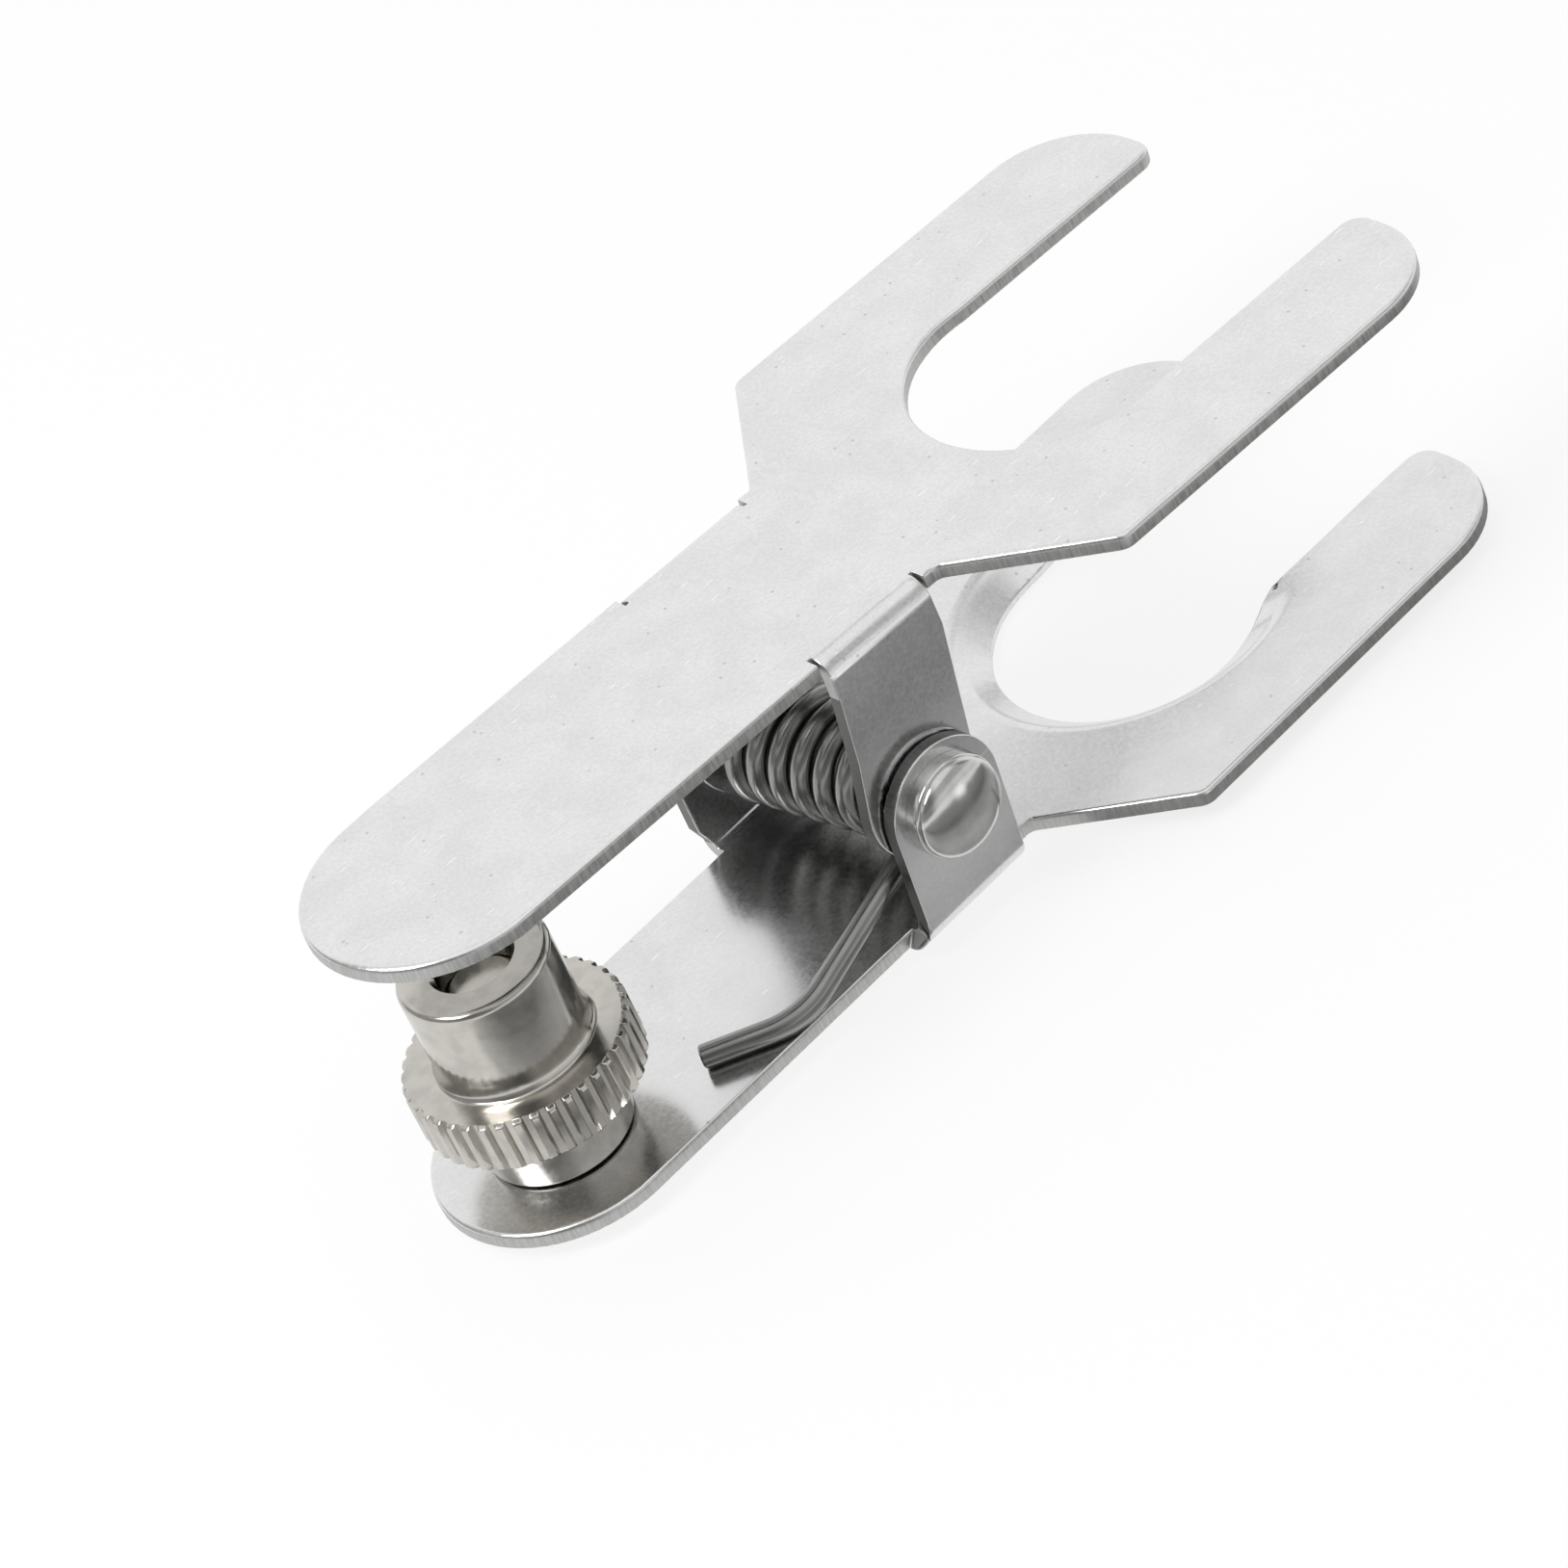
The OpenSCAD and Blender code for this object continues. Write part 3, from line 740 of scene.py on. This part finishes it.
# Painted shade: the ears' cut edges get a much darker steel than the plate's cut edges.
ear_edge_painted_shade = sheared_steel("sheared_ear_edge_painted_shade", "6E6E6C", through=1)
torn_edge_painted_glints = burr_steel_painted_glints("burred_edge_painted_glints", "F0F0EE")
jaw(
    "lower_jaw",
    "lower_fork",
    tilt=0.0,
    plate_low=LOWER_TOP - SHEET_T - pivot.z,
    ears_up=True,
    # The lower jaw's sheet is set a shade darker than the upper's, as painted shade.
    materials=[tumbled_steel("tumbled_lower_sheet_painted_shade", "E6E6E6"), plate_edge, ear_edge_painted_shade, torn_edge_painted_glints],
)
jaw(
    "upper_jaw",
    "upper_fork",
    tilt=upper_tilt,
    plate_low=UPPER_FACE,
    ears_up=False,
    materials=[tumbled_steel("tumbled_upper_sheet", "E8E8E8"), plate_edge, ear_edge_painted_shade, torn_edge_painted_glints],
)


# Rivet: a polished stainless pin through all four ears. Its ends are spun over into
# domed heads, each on a short collar, with faint rings from the spinning tool.
SHANK_R = 1.8 * MM
HEAD_R = 3.45 * MM
HEAD_EASE = 0.26 * MM
HEAD_SIDES = 96
COLLAR_H = 1.1 * MM
COLLAR_FOOT = 0.05 * MM
DOME_IN = 0.12 * MM
DOME_STEPS = 20
EAR_HALF_W = 10.65 * MM
TURNED_CREASE = 32
SMUDGE = 1.3 * MM


def lathe(name, profile, place, axis, steps, closed=False, radius=None):
    """A turned piece. The profile is a list of radius and height along the axis, and
    radius, where given, changes a radius with the angle and height."""
    bm = bmesh.new()
    turn = Vector((0, 0, 1)).rotation_difference(Vector(axis)).to_matrix()
    rings = []
    for r, h in profile:
        if r == 0:
            rings.append([bm.verts.new(Vector(place) + turn @ Vector((0, 0, h)))])
            continue
        ring = []
        for k in range(steps):
            a = math.tau * k / steps
            reach = radius(r, h, a) if radius else r
            spot = turn @ Vector((reach * math.cos(a), reach * math.sin(a), h))
            ring.append(bm.verts.new(Vector(place) + spot))
        rings.append(ring)
    pairs = list(zip(rings, rings[1:]))
    if closed:
        pairs.append((rings[-1], rings[0]))
    for a, b in pairs:
        for k in range(steps):
            corners = [a[k % len(a)], a[(k + 1) % len(a)], b[(k + 1) % len(b)], b[k % len(b)]]
            bm.faces.new(list(dict.fromkeys(corners)))
    bmesh.ops.recalc_face_normals(bm, faces=bm.faces)
    for f in bm.faces:
        f.smooth = True
    mesh = bpy.data.meshes.new(name)
    bm.to_mesh(mesh)
    bm.free()
    mesh.set_sharp_from_angle(angle=math.radians(TURNED_CREASE))
    piece = bpy.data.objects.new(name, mesh)
    scene.collection.objects.link(piece)
    return piece


def rounded_corner(r, h, size, start, steps=4):
    """A quarter round in a profile, as points anticlockwise from angle start."""
    angles = [start + math.pi / 2 * k / steps for k in range(steps + 1)]
    return [(r + size * math.cos(a), h + size * math.sin(a)) for a in angles]


def turned_metal(name, colour, roughness, ring_size, ring_depth, middle, axis):
    """Turned and plated or polished metal: rings about its axis, ring_size apart."""
    m = bpy.data.materials.new(name)
    m.use_nodes = True
    tree = m.node_tree
    shader = tree.nodes["Principled BSDF"]
    shader.inputs["Metallic"].default_value = 1.0
    place = add(tree, "ShaderNodeTexCoord").outputs["Object"]
    offset = add(tree, "ShaderNodeVectorMath", {"operation": "SUBTRACT", 1: middle}, {0: place})
    flat = [1.0 - abs(v) for v in axis]
    across = add(
        tree,
        "ShaderNodeVectorMath",
        {"operation": "MULTIPLY", 1: flat},
        {0: offset.outputs["Vector"]},
    )
    out = add(tree, "ShaderNodeVectorMath", {"operation": "LENGTH"}, {0: across.outputs["Vector"]})
    up = add(
        tree,
        "ShaderNodeVectorMath",
        {"operation": "DOT_PRODUCT", 1: axis},
        {0: offset.outputs["Vector"]},
    )
    rings = add(tree, "ShaderNodeCombineXYZ", links={0: out.outputs["Value"], 1: up.outputs["Value"]})
    lines = add(
        tree,
        "ShaderNodeTexNoise",
        {"Scale": 1 / ring_size, "Detail": 3.0, "Roughness": 0.6},
        {"Vector": rings.outputs["Vector"]},
    )
    smudge = add(tree, "ShaderNodeTexNoise", {"Scale": 1 / SMUDGE, "Detail": 3.0}, {"Vector": place})
    tone = add(tree, "ShaderNodeValToRGB", links={"Fac": smudge.outputs["Fac"]})
    stops(tone, [(0.35, shaded(colour, 0.9)), (0.65, shaded(colour, 1.04))])
    tree.links.new(tone.outputs["Color"], shader.inputs["Base Color"])
    gloss = add(
        tree,
        "ShaderNodeMapRange",
        {"From Min": 0.3, "From Max": 0.7, "To Min": 0.7 * roughness, "To Max": 1.4 * roughness},
        {"Value": smudge.outputs["Fac"]},
    )
    tree.links.new(gloss.outputs["Result"], shader.inputs["Roughness"])
    bump = add(
        tree,
        "ShaderNodeBump",
        {"Strength": 0.6, "Distance": ring_depth},
        {"Height": lines.outputs["Fac"]},
    )
    tree.links.new(bump.outputs["Normal"], shader.inputs["Normal"])
    return m


half_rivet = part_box("pivot_rivet")[1].y
dome_r = HEAD_R - DOME_IN
dome_h = half_rivet - EAR_HALF_W - COLLAR_H
dome_low = EAR_HALF_W + COLLAR_H
one_head = [(0, half_rivet)]
for k in range(DOME_STEPS - 1, -1, -1):
    a = math.pi / 2 * k / DOME_STEPS
    one_head.append((dome_r * math.cos(a), dome_low + dome_h * math.sin(a)))
one_head += reversed(rounded_corner(HEAD_R - HEAD_EASE, dome_low - HEAD_EASE, HEAD_EASE, 0))
one_head += [
    (HEAD_R, EAR_HALF_W + COLLAR_FOOT),
    (HEAD_R - COLLAR_FOOT, EAR_HALF_W),
    (SHANK_R, EAR_HALF_W),
]
rivet_profile = one_head + [(r, -h) for r, h in reversed(one_head)]
rivet = lathe("domed_rivet", rivet_profile, pivot, (0, 1, 0), HEAD_SIDES)
# Stainless, spun and polished: bright and nearly a mirror, with faint rings.
rivet_steel = turned_metal(
    "polished_rivet_steel",
    "CFCFCD",
    roughness=0.14,
    ring_size=0.10 * MM,
    ring_depth=0.003 * MM,
    middle=pivot,
    axis=(0, 1, 0),
)
rivet.data.materials.append(rivet_steel)
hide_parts("pivot_rivet")
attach(rivet, "lower_jaw")


# Spring: hard-drawn wire, 1.6 mm thick, wound six turns round the rivet. Each leg is bent
# back inwards on its jaw and cropped. The real coil twists as the jaws open and close; here
# it is one fixed mesh, which neither jaw carries.
WIRE_R = 0.8 * MM
COIL_R = 3.8 * MM
COIL_TURNS = 6
COIL_HALF = 6.8 * MM
LEG_BEND = (14.8 * MM, 8.9 * MM)
UPPER_BEND_Y = 8.0 * MM
LEG_END = (20.4 * MM, 5.0 * MM)
BEND_R = 2.4 * MM
WIRE_GAP = 0.1 * MM
TURN_STEPS = 40
WIRE_SIDES = 24
WIRE_CREASE = 35
CROP_EASE = 0.12 * MM
CAD_COIL_RINGS = 8
LEAN_GAP = 0.15 * MM
LEAN_WAY = Vector((0.55, 0.83)).normalized()
DIE_LINE_MM = 0.15
lower_face = LOWER_TOP - pivot.z


def held_open(p):
    """A point of the upper jaw's own frame, where the jaw is held."""
    return Matrix.Rotation(upper_tilt, 3, "Y") @ p


low_z = lower_face + WIRE_R + WIRE_GAP
high_z = UPPER_FACE - WIRE_R - WIRE_GAP
low_bend = Vector((-LEG_BEND[0], -LEG_BEND[1], low_z))
low_end = Vector((-LEG_END[0], -LEG_END[1], low_z))
high_bend = held_open(Vector((-LEG_BEND[0], UPPER_BEND_Y, high_z)))
high_end = held_open(Vector((-LEG_END[0], LEG_END[1], high_z)))
lean = COIL_R * math.cos(math.pi / CAD_COIL_RINGS) - WIRE_R - SHANK_R - LEAN_GAP


def coil_middle(y):
    """Middle of the coil, which the legs' push tips on the rivet."""
    return -lean * y / COIL_HALF * LEAN_WAY


def leaves(p, y, sign):
    """Angle round the coil at which a straight leg to p leaves it."""
    d = Vector((p.x, p.z)) - coil_middle(y)
    return math.atan2(d.y, d.x) + sign * math.acos(COIL_R / d.length)


def rounded_bend(a, b, c, steps=14):
    """A rounded bend at b on the way from a to c."""
    p = b + (a - b).normalized() * BEND_R
    q = b + (c - b).normalized() * BEND_R
    return [
        p * (1 - k / steps) ** 2 + b * 2 * k / steps * (1 - k / steps) + q * (k / steps) ** 2
        for k in range(steps + 1)
    ]


start_angle = leaves(low_bend, -COIL_HALF, 1)
end_angle = leaves(high_bend, COIL_HALF, -1)
sweep = math.tau * COIL_TURNS + (end_angle - start_angle) % math.tau
coil_steps = round(sweep / math.tau * TURN_STEPS)
coil = []
for k in range(coil_steps + 1):
    y = COIL_HALF * (2 * k / coil_steps - 1)
    a = start_angle + sweep * k / coil_steps
    m = coil_middle(y)
    coil.append(Vector((m.x + COIL_R * math.cos(a), y, m.y + COIL_R * math.sin(a))))
wire = [low_end, *rounded_bend(low_end, low_bend, coil[0]), *coil]
wire += [*rounded_bend(coil[-1], high_bend, high_end), high_end]


def wire_tube(name, path, r, sides):
    """A wire along a path, with cropped ends, and a map in millimetres along and round it."""
    last = len(path) - 1
    tangents = [(path[min(i + 1, last)] - path[max(i - 1, 0)]).normalized() for i in range(last + 1)]
    along = [0.0]
    for p, q in zip(path, path[1:]):
        along.append(along[-1] + (q - p).length)
    rows = [
        (path[0], tangents[0], r - CROP_EASE, 0.0),
        (path[0] + tangents[0] * CROP_EASE, tangents[0], r, CROP_EASE),
    ]
    rows += [(path[i], tangents[i], r, along[i]) for i in range(1, last)]
    rows += [
        (path[last] - tangents[last] * CROP_EASE, tangents[last], r, along[last] - CROP_EASE),
        (path[last], tangents[last], r - CROP_EASE, along[last]),
    ]
    bm = bmesh.new()
    uv = bm.loops.layers.uv.new("wire")
    rings = []
    for p, t, radius, _ in rows:
        u = t.cross(Vector((0, 1, 0))).normalized()
        v = t.cross(u)
        ring = []
        for k in range(sides):
            a = math.tau * k / sides
            ring.append(bm.verts.new(pivot + p + radius * (u * math.cos(a) + v * math.sin(a))))
        rings.append(ring)
    for i, (a, b) in enumerate(zip(rings, rings[1:])):
        for k in range(sides):
            f = bm.faces.new([a[k], a[(k + 1) % sides], b[(k + 1) % sides], b[k]])
            where = [(i, k), (i, k + 1), (i + 1, k + 1), (i + 1, k)]
            for loop, (row, side) in zip(f.loops, where):
                loop[uv].uv = (rows[row][3] / MM, math.tau * r / MM * side / sides)
    bm.faces.new(rings[0])
    bm.faces.new(rings[-1])
    bmesh.ops.recalc_face_normals(bm, faces=bm.faces)
    for f in bm.faces:
        f.smooth = True
    mesh = bpy.data.meshes.new(name)
    bm.to_mesh(mesh)
    bm.free()
    mesh.set_sharp_from_angle(angle=math.radians(WIRE_CREASE))
    piece = bpy.data.objects.new(name, mesh)
    scene.collection.objects.link(piece)
    return piece


def drawn_wire():
    """Hard-drawn spring wire: dull grey metal, whose die lines along the wire stretch its
    highlights lengthwise. They are drawn coarser than the real ones, so that they show."""
    m = bpy.data.materials.new("drawn_spring_wire")
    m.use_nodes = True
    tree = m.node_tree
    shader = tree.nodes["Principled BSDF"]
    shader.inputs["Metallic"].default_value = 1.0
    place = add(tree, "ShaderNodeUVMap", {"uv_map": "wire"})
    stretched = add(tree, "ShaderNodeMapping", {"Scale": (0.06, 1.0, 1.0)}, {"Vector": place.outputs["UV"]})
    lines = add(
        tree,
        "ShaderNodeTexNoise",
        {"Scale": 1 / DIE_LINE_MM, "Detail": 3.0},
        {"Vector": stretched.outputs["Vector"]},
    )
    tone = add(tree, "ShaderNodeValToRGB", links={"Fac": lines.outputs["Fac"]})
    stops(tone, [(0.35, linear("8C8C8A")), (0.65, linear("989896"))])
    tree.links.new(tone.outputs["Color"], shader.inputs["Base Color"])
    gloss = add(
        tree,
        "ShaderNodeMapRange",
        {"From Min": 0.35, "From Max": 0.65, "To Min": 0.22, "To Max": 0.26},
        {"Value": lines.outputs["Fac"]},
    )
    tree.links.new(gloss.outputs["Result"], shader.inputs["Roughness"])
    bump = add(
        tree,
        "ShaderNodeBump",
        {"Strength": 0.2, "Distance": 0.002 * MM},
        {"Height": lines.outputs["Fac"]},
    )
    tree.links.new(bump.outputs["Normal"], shader.inputs["Normal"])
    return m


spring = wire_tube("torsion_spring", wire, WIRE_R, WIRE_SIDES)
spring.data.materials.append(drawn_wire())
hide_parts("jaw_spring")
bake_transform(spring)


# Stud: a nickel-plated steel stud, riveted upright through the lower handle, with an M5
# thread for the nut. Its foot is pressed flat under the handle.
STUD_R = 2.5 * MM
STUD_SIDES = 48
STUD_CHAMFER = 0.4 * MM
FOOT_R = 3.8 * MM
FOOT_EDGE = 0.4 * MM
FOOT_EDGE_STEPS = 5
PITCH = 0.8 * MM
THREAD_DEPTH = 0.42 * MM
THREAD_LOW = 0.9 * MM
THREAD_FADE = 0.4
THREAD_ROWS_PER_PITCH = 12
GROOVE_SLOPE = 1.25
GROOVE_ROOT = 1.15
stud_low, stud_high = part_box("lock_stud")
stud_middle = Vector(((stud_low.x + stud_high.x) / 2, 0, 0))
stud_end = stud_high.z
thread_start = LOWER_TOP + THREAD_LOW
thread_end = stud_end - STUD_CHAMFER


def thread_radius(r, h, a):
    """Radius of the stud at a height and angle, with the thread's helix cut into it."""
    if not thread_start < h < thread_end:
        return r
    fade = min(1.0, (h - thread_start) / PITCH, (thread_end - h) / (THREAD_FADE * PITCH))
    phase = ((h - thread_start) / PITCH - a / math.tau) % 1.0
    groove = max(0.0, 1.0 - abs(2 * phase - 1.0) * GROOVE_SLOPE)
    return r - THREAD_DEPTH * fade * min(1.0, groove * GROOVE_ROOT)


lower_under = LOWER_TOP - SHEET_T
thread_l = thread_end - thread_start
thread_rows = round(thread_l / PITCH * THREAD_ROWS_PER_PITCH)
stud_profile = [(0, 0)]
stud_profile += rounded_corner(FOOT_R - FOOT_EDGE, FOOT_EDGE, FOOT_EDGE, -math.pi / 2, FOOT_EDGE_STEPS)
stud_profile += [(FOOT_R, lower_under), (STUD_R, lower_under), (STUD_R, thread_start)]
stud_profile += [(STUD_R, thread_start + thread_l * k / thread_rows) for k in range(1, thread_rows + 1)]
stud_profile += [(STUD_R - STUD_CHAMFER, stud_end), (0, stud_end)]
stud = lathe("threaded_stud", stud_profile, stud_middle, (0, 0, 1), STUD_SIDES, radius=thread_radius)
# Steel, turned and nickel-plated: a slightly warm grey, with fine tool rings.
stud_steel = turned_metal(
    "nickelled_stud_steel",
    "C9C6BF",
    roughness=0.2,
    ring_size=0.12 * MM,
    ring_depth=0.004 * MM,
    middle=stud_middle,
    axis=(0, 0, 1),
)
stud.data.materials.append(stud_steel)
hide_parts("lock_stud")
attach(stud, "lower_jaw")


# Nut: turned from brass bar, with a straight knurl rolled round its rim, and plated with
# bright nickel, which is a little warm. It runs on the stud and props the upper handle.
KNURLS = 40
KNURL_STEPS = 12
KNURL_R = 7.6 * MM
KNURL_H = 3.9 * MM
KNURL_DEPTH = 0.45 * MM
KNURL_FLANK = 0.17
KNURL_BEVEL = 0.35 * MM
KNURL_SLACK = 0.01 * MM
CREST_IN = 0.10 * MM
CREST_LOW = 0.6
CREST_HIGH = 0.4
RIM_EDGE = 0.12 * MM
BOSS_R = 5.0 * MM
BOSS_H = 4.2 * MM
BOSS_EDGE = 0.25 * MM
BOSS_FLARE = 0.15 * MM
BARREL_R = 5.1 * MM
BARREL_FOOT = 0.45 * MM
BARREL_STEP = 0.05 * MM
FOOT_H = 1.1 * MM
FOOT_STEPS = 8
BARREL_EDGE = 0.5 * MM
BORE_R = 2.55 * MM
BORE_LOW_CHAMFER = 0.3 * MM
BORE_TOP_CHAMFER = 0.35 * MM
nut_low, nut_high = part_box("lock_nut")
nut_base = nut_low.z
nut_top = nut_high.z - nut_base
rim_low = BOSS_H
rim_high = BOSS_H + KNURL_H


def knurl_radius(r, h, a):
    """Radius of the rim at an angle: flat-topped ridges between rounded grooves."""
    on_rim = rim_low - KNURL_SLACK < h < rim_high + KNURL_SLACK
    if not on_rim or r < KNURL_R - KNURL_BEVEL - KNURL_SLACK:
        return r
    phase = (a / math.tau * KNURLS) % 1.0
    ridge = clamped((abs(phase - 0.5) - KNURL_FLANK) / KNURL_FLANK)
    return min(r, KNURL_R - KNURL_DEPTH * ridge * ridge * (3 - 2 * ridge))


nut_profile = [(BORE_R + BORE_LOW_CHAMFER, 0)]
nut_profile += rounded_corner(BOSS_R - BOSS_EDGE, BOSS_EDGE, BOSS_EDGE, -math.pi / 2, steps=5)
nut_profile += [
    (BOSS_R, BOSS_H - BOSS_FLARE),
    (BOSS_R + BOSS_FLARE, BOSS_H),
    (KNURL_R - KNURL_BEVEL, rim_low),
    (KNURL_R - CREST_IN, rim_low + KNURL_BEVEL * CREST_LOW),
    (KNURL_R, rim_low + KNURL_BEVEL),
    (KNURL_R, rim_high - KNURL_BEVEL),
    (KNURL_R - CREST_IN, rim_high - KNURL_BEVEL * CREST_HIGH),
    (KNURL_R - KNURL_BEVEL, rim_high),
    (KNURL_R - KNURL_BEVEL - RIM_EDGE, rim_high),
    (BARREL_R + BARREL_FOOT + BARREL_STEP, rim_high),
]
for k in range(FOOT_STEPS + 1):
    a = math.pi / 2 * k / FOOT_STEPS
    nut_profile.append((BARREL_R + BARREL_FOOT * (1 - math.sin(a)), rim_high + FOOT_H * (1 - math.cos(a))))
nut_profile += rounded_corner(BARREL_R - BARREL_EDGE, nut_top - BARREL_EDGE, BARREL_EDGE, 0, steps=6)
nut_profile += [
    (BORE_R + BORE_TOP_CHAMFER, nut_top),
    (BORE_R, nut_top - BORE_TOP_CHAMFER),
    (BORE_R, BORE_LOW_CHAMFER),
]
nut = lathe(
    "knurled_nut",
    nut_profile,
    stud_middle + Vector((0, 0, nut_base)),
    (0, 0, 1),
    KNURLS * KNURL_STEPS,
    closed=True,
    radius=knurl_radius,
)
# Bright nickel over turned brass: glossy and a little warm, with fine tool rings.
nut_nickel = turned_metal(
    "bright_nickel",
    "C4C1BB",
    roughness=0.15,
    ring_size=0.14 * MM,
    ring_depth=0.004 * MM,
    middle=stud_middle,
    axis=(0, 0, 1),
)
nut.data.materials.append(nut_nickel)
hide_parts("lock_nut")
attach(nut, "lock_nut")


# Close: colours are shown as they are.
scene.view_settings.view_transform = "Standard"
